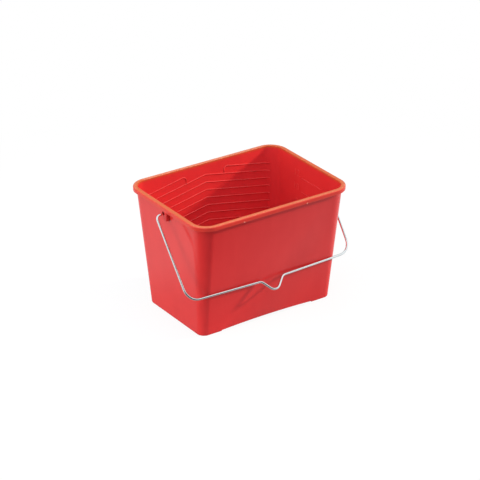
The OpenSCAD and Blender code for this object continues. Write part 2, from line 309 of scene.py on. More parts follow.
def faces_at(items):
    """The faces that meet at these vertices or edges."""
    return list({f for item in items for f in item.link_faces})


def verts_in(geom):
    """The vertices among the geometry that an operator gives back."""
    return [g for g in geom if isinstance(g, bmesh.types.BMVert)]


def round_off(bm, geom, radius, steps, affect="EDGES"):
    """Rounds edges or corners, and gives back what the bevel has made."""
    return bmesh.ops.bevel(
        bm, geom=geom, offset=radius, offset_type="OFFSET", segments=steps, profile=0.5,
        affect=affect, material=-1,
    )


def axes_at(point, across, up, out):
    """Matrix that turns a shape's own axes to three directions and puts it at a point."""
    place = Matrix((across, up, out)).transposed().to_4x4()
    place.translation = point
    return place


def quarter_turn(steps=EDGE_STEPS):
    """Sine and cosine along a quarter turn."""
    return [
        (math.sin(math.pi / 2 * i / steps), math.cos(math.pi / 2 * i / steps))
        for i in range(steps + 1)
    ]


def wall_ring(tub, z, grow=0.0):
    """Length, width, corner radius and height of the wall's outline at a height, grown evenly."""
    wall_top = tub.height - tub.rim_drop
    ring = []
    for base, rim, shrink in (
        (tub.base_length, tub.rim_length, 2 * tub.rim_overhang),
        (tub.base_width, tub.rim_width, 2 * tub.rim_overhang),
        (tub.base_corner, tub.rim_corner, tub.rim_overhang),
    ):
        ring.append(base + (rim - shrink - base) * z / wall_top)
    return ring[0] + 2 * grow, ring[1] + 2 * grow, ring[2] + grow, z


def rim_ring(tub, inset, z):
    """Length, width, corner radius and height of a ring inside the rim's outer face."""
    return tub.rim_length - 2 * inset, tub.rim_width - 2 * inset, tub.rim_corner - inset, z


def shell_rings(tub):
    """The shell's rings, from the floor inside, up over the rim, and down to the underside."""
    floor_top = tub.stand_height + tub.bottom_skin
    wall_top = tub.height - tub.rim_drop
    rim_under = tub.height - tub.rim_skin
    small = tub.edge_break
    guard = 2 * small
    rings = []

    def wall(z, grow=0.0):
        rings.append(wall_ring(tub, z, grow))

    def rim(inset, z):
        rings.append(rim_ring(tub, inset, z))

    # Inside, up to the lip
    for sine, cosine in quarter_turn():
        wall(floor_top + tub.bottom_round * (1 - cosine), -tub.wall - tub.bottom_round * (1 - sine))
    wall(rings[-1][3] + guard, -tub.wall)
    for share in FADE_RINGS:
        wall(tub.height - tub.lip_fade * share, -tub.wall)
    wall(tub.height - tub.lip_round - guard, -tub.wall)
    for sine, cosine in quarter_turn():
        wall(tub.height - tub.lip_round * (1 - sine), -tub.wall + tub.lip_round * (1 - cosine))
    # Over the rim and round its skirt
    wall(tub.height, -tub.wall + tub.lip_round + small)
    rim(tub.rim_skin + small, tub.height)
    for sine, cosine in quarter_turn():
        rim(tub.rim_skin * (1 - sine), tub.height - tub.rim_skin * (1 - cosine))
    rim(0, rim_under - small)
    rim(0, wall_top + guard)
    for sine, cosine in quarter_turn(BREAK_STEPS):
        rim(small * (1 - cosine), wall_top + small * (1 - sine))
    for sine, cosine in quarter_turn(BREAK_STEPS):
        rim(tub.rim_skin - small * (1 - sine), wall_top + small * (1 - cosine))
    rim(tub.rim_skin, wall_top + guard)
    rim(tub.rim_skin, rim_under - guard)
    for sine, cosine in quarter_turn(BREAK_STEPS):
        rim(tub.rim_skin + small * (1 - cosine), rim_under - small * (1 - sine))
    # Down the outside and round the standing edge
    for sine, cosine in quarter_turn(BREAK_STEPS):
        wall(rim_under - small * (1 - cosine), small * (1 - sine))
    wall(rim_under - guard)
    wall(tub.stand_height)
    for sine, cosine in reversed(quarter_turn()):
        wall(tub.stand_round * (1 - cosine), -tub.stand_round * (1 - sine))
    for sine, cosine in quarter_turn(BREAK_STEPS):
        wall(small * (1 - cosine), -tub.stand_skin + small * (1 - sine))
    for sine, cosine in quarter_turn(BREAK_STEPS):
        wall(tub.stand_height - small * (1 - sine), -tub.stand_skin - small * (1 - cosine))
    return rings


def rounded_loop(bm, length, width, corner, z):
    """Edge loop of a rounded rectangle, level at a height."""
    place = Matrix.Translation((0, 0, z)) @ Matrix.Diagonal((length, width, 1, 1))
    square = bmesh.ops.create_grid(bm, x_segments=1, y_segments=1, size=0.5, matrix=place)
    rounded = round_off(bm, square["verts"], corner, CORNER_STEPS, affect="VERTICES")
    loop = edges_of(rounded["verts"])
    bmesh.ops.delete(bm, geom=faces_at(loop), context="FACES_ONLY")
    return loop


def on_top(tub, z):
    """Whether a height is that of the rim's top."""
    return z > tub.height - tub.rim_skin / 4


def rim_share(tub, ring):
    """How much of the rim's lighter colour, a painted highlight, a ring of the shell takes."""
    length, _, _, z = ring
    outside = length - wall_ring(tub, z)[0]
    depth = tub.height - z
    if outside > tub.edge_break:
        over = max(0.0, 1 - depth / tub.rim_skin)
        return SKIRT_HIGHLIGHT + (1 - SKIRT_HIGHLIGHT) * over ** EDGE_FALL
    if outside > -tub.wall / 2:
        return 0.0
    left = (tub.lip_fade - depth) / (tub.lip_fade - tub.lip_round)
    return min(1.0, max(0.0, left)) ** LIP_FALL


def edge_share(tub, ring):
    """How pale a ring of the shell is painted: a painted highlight on the rim's edges, wear on the
    standing edge.
    """
    length, _, _, z = ring
    on_rim = length > wall_ring(tub, z)[0] + tub.edge_break
    upper = on_top(tub, z) and length > tub.rim_length - 2.5 * tub.rim_skin
    at_skirt_end = abs(z - tub.height + tub.rim_drop) < tub.edge_break
    lower = at_skirt_end and length > tub.rim_length - tub.rim_skin
    return 1.0 if on_rim and (upper or lower) or z < tub.stand_round / 2 else 0.0


def mould_shell(bm, tub):
    """The tub's floor, walls, rim and standing edge, one closed skin, marked for wear and painted
    highlights.
    """
    # rim: share of the rim's painted highlight; edge: paleness of wear and of painted highlights
    rim = bm.verts.layers.float.new("rim")
    edge = bm.verts.layers.float.new("edge")
    loops = []
    for ring in shell_rings(tub):
        length, width, corner, z = ring
        loop = rounded_loop(bm, *ring)
        for v in verts_of(loop):
            v[rim] = rim_share(tub, ring)
            long_side = abs(v.co.y) > width / 2 - corner + TINY
            v[edge] = edge_share(tub, ring) * (1.0 if long_side else WEAR_AND_HIGHLIGHT_END)
            # The back rim's top takes a stronger painted highlight
            straight = abs(v.co.x) < length / 2 - corner + TINY
            if straight and v.co.y > 0 and on_top(tub, z):
                v[edge] = HIGHLIGHT_BACK_RIM
        loops.append(loop)
    # Two level loops would be bridged with a twist, so the second is lifted meanwhile
    lift = Vector((0, 0, tub.rim_drop))
    for lower, upper in zip(loops, loops[1:]):
        verts = verts_of(upper)
        bmesh.ops.translate(bm, verts=verts, vec=lift)
        bmesh.ops.bridge_loops(bm, edges=lower + upper)
        bmesh.ops.translate(bm, verts=verts, vec=-lift)
    for loop in (loops[0], loops[-1]):
        bmesh.ops.edgeloop_fill(bm, edges=loop)


def arch_height(tub, x):
    """Height of the low gap between the feet of a long side."""
    half = tub.base_length / 2 - tub.foot_length
    radius = (half * half + tub.gap_rise * tub.gap_rise) / (2 * tub.gap_rise)
    return tub.gap_step + tub.gap_rise - radius + math.sqrt(radius * radius - x * x)


def cut_foot_gaps(bm, tub):
    """Raises the long sides' standing edge between the feet, in an arch with stepped ends."""
    half = tub.base_length / 2 - tub.foot_length
    side = tub.base_width / 2 - 2 * tub.stand_skin
    under = tub.stand_height - tub.edge_break
    cuts = [half * (2 * i / GAP_STEPS - 1) for i in range(GAP_STEPS + 1)]
    for x in [-half - STEP_RUN, *cuts, half + STEP_RUN]:
        low = [
            f for f in bm.faces
            if f.calc_center_median().z < under and abs(f.calc_center_median().y) > side
            and min(v.co.x for v in f.verts) < x < max(v.co.x for v in f.verts)
        ]
        geom = set(low) | {e for f in low for e in f.edges} | {v for f in low for v in f.verts}
        bmesh.ops.bisect_plane(bm, geom=list(geom), plane_co=(x, 0, 0), plane_no=(1, 0, 0))
    for v in bm.verts:
        if abs(v.co.x) < half + STEP_RUN / 2 and abs(v.co.y) > side:
            v.co.z = max(v.co.z, arch_height(tub, v.co.x))


def guard_corners(bm, tub):
    """Cuts the walls just beside the round corners, so that the flats stay flat when shaded."""
    top = wall_ring(tub, tub.height)
    base = wall_ring(tub, 0)
    beside = 2 * tub.edge_break
    for axis in (0, 1):
        low = base[axis] / 2 - base[2] - beside
        lean = (top[axis] / 2 - top[2] - beside - low) / tub.height
        for side in (-1, 1):
            at, normal = Vector(), Vector((0, 0, -lean))
            at[axis] = side * low
            normal[axis] = side
            bmesh.ops.bisect_plane(
                bm, geom=bm.verts[:] + bm.edges[:] + bm.faces[:], plane_co=at, plane_no=normal
            )


def small_block(bm, low, high, radius):
    """A block between two corners, with rounded edges."""
    low, high = Vector(low), Vector(high)
    place = Matrix.Translation((low + high) / 2) @ Matrix.Diagonal((*(high - low), 1))
    block = bmesh.ops.create_cube(bm, size=1.0, matrix=place)
    round_off(bm, edges_of(block["verts"]), radius, steps=2)


def rub_since(bm, before, share):
    """Paints a highlight, a paler colour, on what has been moulded since a set of vertices was
    taken.
    """
    edge = bm.verts.layers.float["edge"]
    for v in bm.verts:
        if v not in before:
            v[edge] = share


def mould_nibs(bm, tub):
    """The small nibs at the lower edge of the skirt of the long sides, with a painted glint."""
    low = tub.height - tub.rim_drop
    half = tub.nib_length / 2
    before = set(bm.verts)
    for along in (-1, 1):
        for side in (-1, 1):
            x = along * tub.nib_spacing / 2 - tub.nib_left
            inner = side * (tub.rim_width / 2 - tub.rim_skin / 2)
            outer = side * (tub.rim_width / 2 + tub.nib_out)
            small_block(
                bm, (x - half, min(inner, outer), low),
                (x + half, max(inner, outer), low + tub.nib_height), tub.nib_out * NIB_ROUND,
            )
    # A painted glint on the nibs
    rub_since(bm, before, GLINT_NIB)


def mould_lug(bm, tub, lug, side):
    """A pivot lug at one end: a plate with the pivot hole, and a web to the wall at each side."""
    face = tub.rim_length / 2 - lug.inset
    bottom = tub.height - lug.drop
    top = tub.height - tub.rim_skin / 2
    flat = lug.width - 2 * lug.upright_round
    turned = Matrix.Rotation(math.pi / 2, 4, "Y") @ Matrix.Rotation(math.pi / 2, 4, "Z")

    def upright(z):
        return Matrix.Translation((face, PIVOT.y, z)) @ turned

    before = set(bm.verts)
    plate = bmesh.ops.create_grid(
        bm, x_segments=HOLE_STEPS // 4, y_segments=HOLE_STEPS // 4, size=0.5,
        matrix=upright((top + bottom) / 2) @ Matrix.Diagonal((flat, top - bottom, 1, 1)),
    )
    outline = [v for v in plate["verts"] if v.is_boundary]
    inner = [v for v in plate["verts"] if not v.is_boundary]
    bmesh.ops.delete(bm, geom=inner, context="VERTS")
    outline_edges = edges_of(outline)
    hole = bmesh.ops.create_circle(
        bm, cap_ends=False, segments=HOLE_STEPS, radius=lug.hole / 2,
        matrix=upright(PIVOT.z + lug.hole_rise),
    )
    sheet = bmesh.ops.bridge_loops(bm, edges=outline_edges + edges_of(hole["verts"]))["faces"]
    for end in (-1, 1):
        y = PIVOT.y + end * flat / 2
        border = [e for e in outline_edges if all(abs(v.co.y - y) < TINY for v in e.verts)]
        rounded = bmesh.ops.spin(
            bm, geom=border + verts_of(border), cent=(face - lug.upright_round, y, 0),
            axis=(0, 0, 1), angle=end * math.pi / 2, steps=LUG_STEPS,
        )
        last = [g for g in rounded["geom_last"] if isinstance(g, bmesh.types.BMEdge)]
        for v in verts_in(bmesh.ops.extrude_edge_only(bm, edges=last)["geom"]):
            v.co.x = wall_ring(tub, v.co.z)[0] / 2 - tub.wall / 2
    faces = faces_at(v for v in bm.verts if v not in before)
    bmesh.ops.recalc_face_normals(bm, faces=faces)
    if sum(f.normal.x for f in sheet) < 0:
        bmesh.ops.reverse_faces(bm, faces=faces)
    bmesh.ops.solidify(bm, geom=faces, thickness=lug.skin)
    new = [v for v in bm.verts if v not in before]
    if side < 0:
        bmesh.ops.scale(bm, vec=(-1, 1, 1), verts=new)
    bmesh.ops.recalc_face_normals(bm, faces=faces_at(new))


def back_wall_at(tub, x, z):
    """Point of the inner back wall, corners included, and the wall's normal there, into the tub."""
    length, width, corner, _ = wall_ring(tub, z, -tub.wall)
    lean = (wall_ring(tub, tub.height)[1] - wall_ring(tub, 0)[1]) / 2 / tub.height
    past = max(0.0, abs(x) - (length / 2 - corner))
    depth = math.sqrt(corner * corner - past * past)
    point = Vector((x, width / 2 - corner + depth, z))
    normal = Vector((-math.copysign(past, x), -depth, lean * corner)).normalized()
    return point, normal


def lay_bead(bm, path, width, height):
    """A rounded bead along a path of points and normals of a wall, half sunk into it."""
    points = [p for p, _ in path]
    loops = []
    for i, (point, normal) in enumerate(path):
        along = (points[min(i + 1, len(points) - 1)] - points[max(i - 1, 0)]).normalized()
        across = normal.cross(along).normalized()
        share = BEAD_NOSE if i in (0, len(path) - 1) else 1.0
        place = axes_at(point, across * width / 2 * share, normal * height * share, along)
        ring = bmesh.ops.create_circle(
            bm, cap_ends=False, segments=BEAD_STEPS, radius=1.0, matrix=place
        )
        loops.append(edges_of(ring["verts"]))
    for lower, upper in zip(loops, loops[1:]):
        bmesh.ops.bridge_loops(bm, edges=lower + upper)
    for loop in (loops[0], loops[-1]):
        bmesh.ops.edgeloop_fill(bm, edges=loop)


def rib_end(tub, relief, level):
    """Where a rib ends beside the end wall, for a rib whose height follows level(x)."""
    x = tub.base_length / 2
    for _ in range(END_ROUNDS):
        x = wall_ring(tub, level(x))[0] / 2 - tub.wall - relief.rib_margin
    return x


def mould_ribs(bm, tub, relief):
    """The chevron ribs on the inner back wall, and the split row above, which turns down."""
    peak = tub.height - relief.rib_drop
    slope = math.tan(relief.rib_slope)
    nose = relief.rib_width / 2
    before = set(bm.verts)

    def level(row):
        return lambda x: peak - row * relief.rib_pitch - abs(x) * slope

    for row in range(relief.rib_rows):
        height = level(row)
        end = rib_end(tub, relief, height)
        closing = (end - nose - RIB_CORNER) / CORNER_RINGS
        half = [*RIB_FLAT, *(RIB_CORNER + closing * i for i in range(CORNER_RINGS + 1)), end]
        stations = [-x for x in reversed(half[1:])] + half
        path = [back_wall_at(tub, x, height(x)) for x in stations]
        lay_bead(bm, path, relief.rib_width, relief.rib_height)
    height = level(-1)
    end = rib_end(tub, relief, height)
    turn = relief.rib_turn
    centre_x = relief.rib_gap - turn * math.sin(relief.rib_slope)
    centre_z = height(relief.rib_gap) - turn * math.cos(relief.rib_slope)
    flat = [(x, height(x)) for x in (end, end - nose, *SPLIT_FLAT)]
    sweep = math.pi / 2 + relief.rib_slope
    bend = []
    for i in range(TURN_STEPS + 1):
        angle = math.pi / 2 - relief.rib_slope + sweep * i / TURN_STEPS
        bend.append((centre_x + turn * math.cos(angle), centre_z + turn * math.sin(angle)))
    foot = (bend[-1][0], level(0)(bend[-1][0]))
    for side in (-1, 1):
        path = [back_wall_at(tub, side * x, z) for x, z in [*flat, *bend, foot]]
        lay_bead(bm, path, relief.rib_width, relief.rib_height)
    # A painted highlight along the ribs
    rub_since(bm, before, HIGHLIGHT_RIB)


def litre_level(tub, litres):
    """Height at which the tub holds so many litres, found by halving."""
    floor_top = tub.stand_height + tub.bottom_skin

    def area(z):
        length, width, corner, _ = wall_ring(tub, z, -tub.wall)
        return length * width - (4 - math.pi) * corner * corner

    low, high = floor_top, tub.height
    for _ in range(LEVEL_ROUNDS):
        z = (low + high) / 2
        middle = (floor_top + z) / 2
        held = (z - floor_top) / 6 * (area(floor_top) + 4 * area(middle) + area(z))
        low, high = (z, high) if held * LITRES_PER_CUBIC_METRE < litres else (low, z)
    return z


def end_wall_at(tub, y, z):
    """Point of the inner end wall at the right, and the wall's normal there, into the tub."""
    length = wall_ring(tub, z, -tub.wall)[0]
    lean = (wall_ring(tub, tub.height)[0] - wall_ring(tub, 0)[0]) / 2 / tub.height
    return Vector((length / 2, y, z)), Vector((-1, 0, lean)).normalized()


def mould_figure(bm, tub, relief, text, right_edge, z):
    """A raised figure on the right end wall, whose right-hand edge is given."""
    curve = bpy.data.curves.new("litre_figure", "FONT")
    curve.body = text
    curve.align_x = "RIGHT"
    curve.size = relief.figure_height / FIGURE_SHARE
    curve.extrude = relief.figure_relief * (1 - FIGURE_ROUND)
    curve.bevel_depth = relief.figure_relief * FIGURE_ROUND
    curve.bevel_resolution = 1
    curve.resolution_u = 3
    text_object = bpy.data.objects.new("litre_figure", curve)
    mesh = bpy.data.meshes.new_from_object(text_object)
    point, normal = end_wall_at(tub, right_edge, z)
    across = Vector((0, -1, 0))
    mesh.transform(axes_at(point, across, normal.cross(across), normal))
    bm.from_mesh(mesh)
    bpy.data.objects.remove(text_object)
    bpy.data.curves.remove(curve)
    bpy.data.meshes.remove(mesh)


def mould_litre_scale(bm, tub, relief):
    """The litre marks on the right end wall, each with its figure."""
    before = set(bm.verts)
    first, last = (-relief.mark_forward + side * relief.mark_length / 2 for side in (1, -1))
    nose = math.copysign(relief.mark_width / 2, last - first)
    for litres in range(relief.mark_step, relief.mark_top + 1, relief.mark_step):
        z = litre_level(tub, litres)
        path = [end_wall_at(tub, y, z) for y in (first, first + nose, last - nose, last)]
        lay_bead(bm, path, relief.mark_width, relief.mark_height)
        mould_figure(bm, tub, relief, str(litres), first + relief.figure_gap, z)
    # A painted highlight on the marks and figures
    rub_since(bm, before, HIGHLIGHT_MARK)


def finish_piece(bm, name, body, node, material):
    """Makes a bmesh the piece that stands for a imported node, shaded smooth between its creases."""
    bmesh.ops.remove_doubles(bm, verts=bm.verts[:], dist=TINY)
    bmesh.ops.recalc_face_normals(bm, faces=bm.faces[:])
    for f in bm.faces:
        f.smooth = True
    for e in bm.edges:
        e.smooth = e.calc_face_angle(math.pi) < CREASE
    mesh = bpy.data.meshes.new(name)
    bm.to_mesh(mesh)
    bm.free()
    mesh.materials.append(material)
    piece = bpy.data.objects.new(name, mesh)
    bpy.context.scene.collection.objects.link(piece)
    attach(piece, body)
    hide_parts(node)


class Nodes:
    """Adds nodes to a tree and links them."""

    def __init__(self, tree):
        self.tree = tree

    def add(self, kind, settings=(), **inputs):
        """A node with its settings, whose inputs take values or other nodes' sockets."""
        node = self.tree.nodes.new(kind)
        for key, value in dict(settings).items():
            setattr(node, key, value)
        for key, value in inputs.items():
            self.set(node.inputs[key.replace("_", " ")], value)
        return node

    def set(self, socket, value):
        """Gives an input a value or a link."""
        if isinstance(value, bpy.types.NodeSocket):
            self.tree.links.new(value, socket)
        else:
            socket.default_value = value

    def fill(self, node, *values):
        """Gives a node's first inputs their values or links."""
        for socket, value in zip(node.inputs, values):
            self.set(socket, value)
        return node

    def math(self, operation, a, b, clamp=False):
        """Result of a calculation on two values."""
        node = self.add("ShaderNodeMath", {"operation": operation, "use_clamp": clamp})
        return self.fill(node, a, b).outputs[0]

    def measure(self, operation, *vectors):
        """A length, or how far one vector lies towards another."""
        node = self.add("ShaderNodeVectorMath", {"operation": operation})
        return self.fill(node, *vectors).outputs["Value"]

    def mix_colour(self, share, a, b):
        """A colour between two others."""
        node = self.add("ShaderNodeMix", {"data_type": "RGBA"})
        self.set(node.inputs["Factor"], share)
        self.set(node.inputs[6], a)
        self.set(node.inputs[7], b)
        return node.outputs[2]

    def mix_shader(self, share, a, b):
        """A shader between two others."""
        node = self.add("ShaderNodeMixShader")
        return self.fill(node, share, a.outputs[0], b.outputs[0]).outputs[0]

    def span(self, value, low, high, to_low=0.0, to_high=1.0):
        """A value carried smoothly from one span to another."""
        node = self.add(
            "ShaderNodeMapRange", {"interpolation_type": "SMOOTHSTEP"}, Value=value,
            From_Min=low, From_Max=high, To_Min=to_low, To_Max=to_high,
        )
        return node.outputs[0]

    def noise(self, vector, scale, detail, roughness):
        """Noise from 0 to 1 at a position."""
        node = self.add(
            "ShaderNodeTexNoise", Vector=vector, Scale=scale, Detail=detail, Roughness=roughness
        )
        return node.outputs[0]

    def stretch(self, vector, scale):
        """A position scaled along each axis."""
        return self.add("ShaderNodeMapping", Vector=vector, Scale=scale).outputs[0]

    def attribute(self, name):
        """The node that reads an attribute of the piece."""
        return self.add("ShaderNodeAttribute", {"attribute_name": name})


def empty_tree(owner):
    """Node helper of a material or a world, whose tree is emptied."""
    owner.use_nodes = True
    owner.node_tree.nodes.clear()
    return Nodes(owner.node_tree)


def handling_marks():
    """Node group: where a surface has been rubbed by hands and other tools, from 0 to 1."""
    found = bpy.data.node_groups.get("Handling Marks")
    if found:
        return found
    group = bpy.data.node_groups.new("Handling Marks", "ShaderNodeTree")
    sockets = group.interface
    sockets.new_socket("Position", in_out="INPUT", socket_type="NodeSocketVector")
    sockets.new_socket("Patches per Metre", in_out="INPUT", socket_type="NodeSocketFloat")
    sockets.new_socket("Marks", in_out="OUTPUT", socket_type="NodeSocketFloat")
    nodes = Nodes(group)
    given = nodes.add("NodeGroupInput")
    position, patches = given.outputs[0], given.outputs[1]
    patch = nodes.span(nodes.noise(position, patches, detail=3.0, roughness=0.6), 0.48, 0.72)
    finer = nodes.math("MULTIPLY", patches, 24.0)
    scuff = nodes.span(nodes.noise(position, finer, detail=3.0, roughness=0.7), 0.42, 0.66)
    nodes.fill(nodes.add("NodeGroupOutput"), nodes.math("MULTIPLY", patch, scuff, clamp=True))
    return group


def add_marks(nodes, position, patches):
    """The handling marks on a material, with so many patches per metre."""
    return nodes.add(
        "ShaderNodeGroup", {"node_tree": handling_marks()}, Position=position,
        Patches_per_Metre=patches,
    ).outputs[0]


def new_material(name):
    """A material with an empty tree, its node helper and its Principled shader."""
    material = bpy.data.materials.new(name)
    nodes = empty_tree(material)
    shader = nodes.add("ShaderNodeBsdfPrincipled")
    nodes.add("ShaderNodeOutputMaterial", Surface=shader.outputs[0])
    return material, nodes, shader


def red_polypropylene(finish):
    """Semi-gloss moulded red: pigment flow, grained skin, painted highlights on the rim and its
    edges, rubbed patches, and wear on the standing edge.
    """
    material, nodes, shader = new_material("Red polypropylene")
    position = nodes.add("ShaderNodeTexCoord").outputs["Object"]
    # Pigment in slow clouds and in streaks up the walls
    cloud = nodes.noise(position, scale=7.0, detail=4.0, roughness=0.55)
    upward = nodes.stretch(position, (1.0, 1.0, 0.12))
    flow = nodes.noise(upward, scale=55.0, detail=3.0, roughness=0.5)
    density = nodes.math(
        "ADD", nodes.math("MULTIPLY", cloud, 0.7), nodes.math("MULTIPLY", flow, 0.3)
    )
    pigment = nodes.mix_colour(
        nodes.span(density, 0.35, 0.65), (*finish.deep_red, 1), (*finish.red, 1)
    )
    # Painted highlight of the lighter rim, and pale specks: wear on the standing edge, painted
    # highlights and glints on the rim's edges, nibs, ribs and marks
    rim = nodes.math("MULTIPLY", nodes.attribute("rim").outputs["Fac"], 0.9)
    colour = nodes.mix_colour(rim, pigment, (*finish.rim_red, 1))
    specks = nodes.noise(position, scale=380.0, detail=4.0, roughness=0.6)
    # Specks break up the pale wear and the painted highlights alike
    rubbed = nodes.span(specks, 0.40, 0.64, 0.04, 0.18)
    edge = nodes.attribute("edge").outputs["Fac"]
    wear_and_highlight_mask = nodes.math("MULTIPLY", edge, rubbed, clamp=True)
    nodes.set(shader.inputs["Base Color"], nodes.mix_colour(wear_and_highlight_mask, colour, (*finish.worn_red, 1)))
    # Gloss that varies slowly and dulls where hands have been
    sheen = nodes.noise(position, scale=30.0, detail=3.0, roughness=0.5)
    roughness = nodes.math("ADD", nodes.math("MULTIPLY", sheen, 0.06), 0.10)
    dulled = nodes.math("MULTIPLY", add_marks(nodes, position, 16.0), 0.05)
    nodes.set(shader.inputs["Roughness"], nodes.math("ADD", roughness, dulled))
    # Waves from uneven shrinking, under the fine grain of the mould
    shrink = nodes.noise(position, scale=26.0, detail=1.0, roughness=0.4)
    grain = nodes.noise(position, scale=1500.0, detail=2.0, roughness=0.6)
    slow = nodes.add("ShaderNodeBump", Strength=0.25, Distance=0.0006, Height=shrink).outputs[0]
    fine = nodes.add("ShaderNodeBump", Strength=0.12, Distance=0.00012, Height=grain, Normal=slow)
    nodes.set(shader.inputs["Normal"], fine.outputs[0])
    shader.inputs["IOR"].default_value = 1.49
    shader.inputs["Specular IOR Level"].default_value = 0.28
    return material


def zinc_wire(finish):
    """Bright plated wire: fine draw lines along it, and patches where the zinc has dulled."""
    material, nodes, shader = new_material("Zinc-plated wire")
    straight = nodes.attribute("straightened").outputs["Vector"]
    position = nodes.add("ShaderNodeTexCoord").outputs["Object"]
    drawn = nodes.stretch(straight, (2600.0, 2600.0, 18.0))
    lines = nodes.noise(drawn, scale=1.0, detail=3.0, roughness=0.6)
    cloud = nodes.noise(straight, scale=90.0, detail=3.0, roughness=0.6)
    clouded = nodes.span(cloud, 0.45, 0.75, 0.0, 0.5)
    dull = nodes.math("MAXIMUM", clouded, add_marks(nodes, position, 45.0))
    colour = nodes.mix_colour(dull, (*finish.plating, 1), (*finish.dull_plating, 1))
    nodes.set(shader.inputs["Base Color"], colour)
    shader.inputs["Metallic"].default_value = 1.0
    roughness = nodes.math("ADD", nodes.math("MULTIPLY", lines, 0.08), 0.10)
    roughness = nodes.math("ADD", roughness, nodes.math("MULTIPLY", dull, 0.14))
    nodes.set(shader.inputs["Roughness"], roughness)
    bump = nodes.add("ShaderNodeBump", Strength=0.18, Distance=0.00006, Height=lines)
    nodes.set(shader.inputs["Normal"], bump.outputs[0])
    return material


class BUCKET_OT_mould_tub(bpy.types.Operator):
    """Mould the tub: shell, standing edge, rim nibs, pivot lugs, wipe-off ribs and litre scale"""

    bl_idname = "bucket.mould_tub"
    bl_label = "Mould Tub"

    def execute(self, context):
        scene = context.scene
        tub, relief, lug = scene.bucket_tub, scene.bucket_relief, scene.bucket_lug
        bm = bmesh.new()
        mould_shell(bm, tub)
        cut_foot_gaps(bm, tub)
        guard_corners(bm, tub)
        mould_nibs(bm, tub)
        for side in (-1, 1):
            mould_lug(bm, tub, lug, side)
        mould_ribs(bm, tub, relief)
        mould_litre_scale(bm, tub, relief)
        material = red_polypropylene(scene.bucket_finish)
        finish_piece(bm, "tub", "tub", "bucket_tub", material)
        return {"FINISHED"}


def wire_corners(bail):
    """Corners of the wire in the bail's own plane, and the bend radius at each, from end to end."""
    shoulder = -bail.reach - bail.bar_rise
    half = [
        (Vector((bail.end_x, 0, 0)), 0.0),
        (Vector((bail.leg_top, 0, 0)), bail.pivot_bend),
        (Vector((bail.leg_foot, -bail.reach, 0)), bail.corner_bend),
        (Vector((bail.dip_half, shoulder, 0)), bail.shoulder_bend),
    ]
    other = [(Vector((-p.x, p.y, 0)), r) for p, r in reversed(half)]
    bottom = shoulder - bail.dip_half * math.tan(bail.dip_slope)
    return [*half, (Vector((0, bottom, 0)), bail.dip_bend), *other]


def bend_wire(bm, corners, diameter):
    """The wire, drawn out by straight pulls and bends, with its place before bending kept on it."""
    straightened = bm.verts.layers.float_vector.new("straightened")
    start = (corners[1][0] - corners[0][0]).normalized()
    place = Matrix.Translation(corners[0][0]) @ start.to_track_quat("Z", "Y").to_matrix().to_4x4()
    ahead = bmesh.ops.create_circle(
        bm, cap_ends=False, segments=WIRE_STEPS, radius=diameter / 2, matrix=place
    )["verts"]
    for v in ahead:
        local = place.inverted() @ v.co
        v[straightened] = Vector((local.x, local.y, 0))
    first = edges_of(ahead)
    # Length drawn so far, and how much of the next straight the last bend has taken
    drawn = 0.0
    taken = 0.0
    for i in range(1, len(corners)):
        here, radius = corners[i]
        along = here - corners[i - 1][0]
        length, along = along.length, along.normalized()
        turn, need = 0.0, 0.0
        if i < len(corners) - 1:
            onward = (corners[i + 1][0] - here).normalized()
            turn = math.atan2(along.cross(onward).z, along.dot(onward))
            need = radius * math.tan(abs(turn) / 2)
        pull = length - taken - need
        ahead = verts_in(bmesh.ops.extrude_edge_only(bm, edges=edges_of(ahead))["geom"])
        bmesh.ops.translate(bm, verts=ahead, vec=along * pull)
        drawn += pull
        for v in ahead:
            v[straightened].z = drawn
        taken = need
        if not turn:
            continue
        inward = Vector((-along.y, along.x, 0)) * math.copysign(radius, turn)
        steps = max(BEND_STEPS, round(abs(turn) / WIRE_TURN))
        for _ in range(steps):
            bent = bmesh.ops.spin(
                bm, geom=edges_of(ahead) + ahead, cent=here - along * need + inward,
                axis=(0, 0, 1), angle=turn / steps, steps=1,
            )
            ahead = verts_in(bent["geom_last"])
            drawn += radius * abs(turn) / steps
            for v in ahead:
                v[straightened].z = drawn
    end_round = diameter / 12
    for loop in (first, edges_of(ahead)):
        cap = bmesh.ops.edgeloop_fill(bm, edges=loop)["faces"]
        round_off(bm, [e for f in cap for e in f.edges], end_round, BREAK_STEPS)


class BUCKET_OT_bend_bail(bpy.types.Operator):
    """Bend the wire bail and lay it on the front wall"""

    bl_idname = "bucket.bend_bail"
    bl_label = "Bend Bail"

    def execute(self, context):
        scene = context.scene
        bail = scene.bucket_bail
        bm = bmesh.new()
        bend_wire(bm, wire_corners(bail), bail.wire)
        laid = Matrix.Translation(PIVOT) @ Matrix.Rotation(math.pi / 2 - bail.rest_angle, 4, "X")
        bmesh.ops.transform(bm, matrix=laid, verts=bm.verts[:])
        material = zinc_wire(scene.bucket_finish)
        finish_piece(bm, "bail", "bail", "wire_bail", material)
        return {"FINISHED"}


def seen_rays(nodes, direct, mirrored):
    """A value for camera rays, one for reflected and passed rays, and 0 for light that spreads."""
    path = nodes.add("ShaderNodeLightPath")
    both = nodes.math("ADD", path.outputs["Is Glossy Ray"], path.outputs["Is Transmission Ray"])
    straight = nodes.math("MULTIPLY", path.outputs["Is Camera Ray"], direct)
    return nodes.math("ADD", straight, nodes.math("MULTIPLY", both, mirrored), clamp=True)


